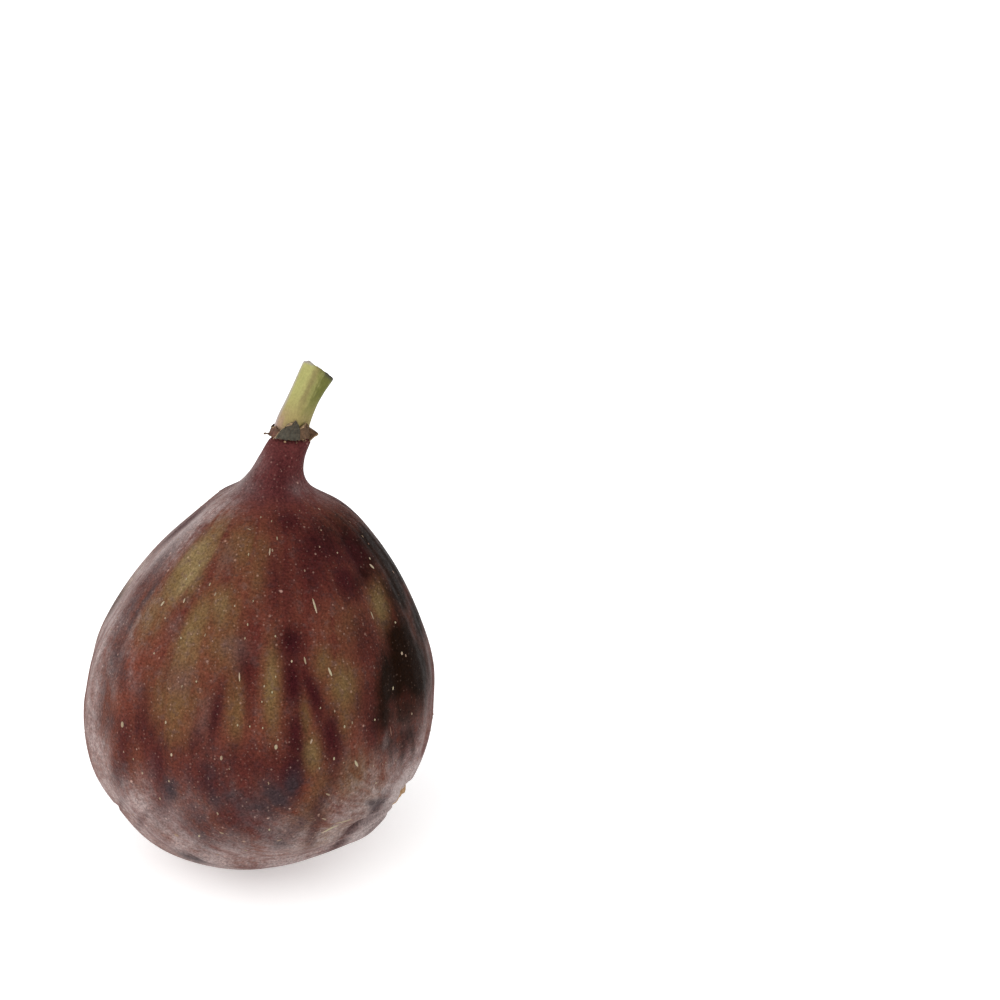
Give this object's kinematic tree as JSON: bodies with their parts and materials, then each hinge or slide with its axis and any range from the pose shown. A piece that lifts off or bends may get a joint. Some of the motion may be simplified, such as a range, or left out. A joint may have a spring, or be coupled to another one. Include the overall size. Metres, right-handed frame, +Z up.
{
  "type": "fresh fig",
  "caption": "Fresh ripe fig as picked: pear-shaped ribbed fruit on a flat resting spot, with a short bent stem, dry bracts round the neck and scales closing the eye.",
  "frame": {"origin": "middle of the small flat spot that the fruit stands on, under its weight", "axes": "+Z up through the fruit, +X to the right of the side it is seen from, -Y towards that side"},
  "size_m": [0.0499, 0.0511, 0.0714],
  "materials": {
    "fig_skin": "velvety wine and olive skin with a grey bloom and pale specks",
    "stem_green": "matt, fibrous at the broken end",
    "bract_brown": "dry and matt",
    "eye_scale_brown": "dry and matt"
  },
  "bodies": {
    "root": {"fruit": "fig_skin", "stem": "stem_green", "stem_bracts": "bract_brown", "eye_scales": "eye_scale_brown"}
  },
  "joints": []
}
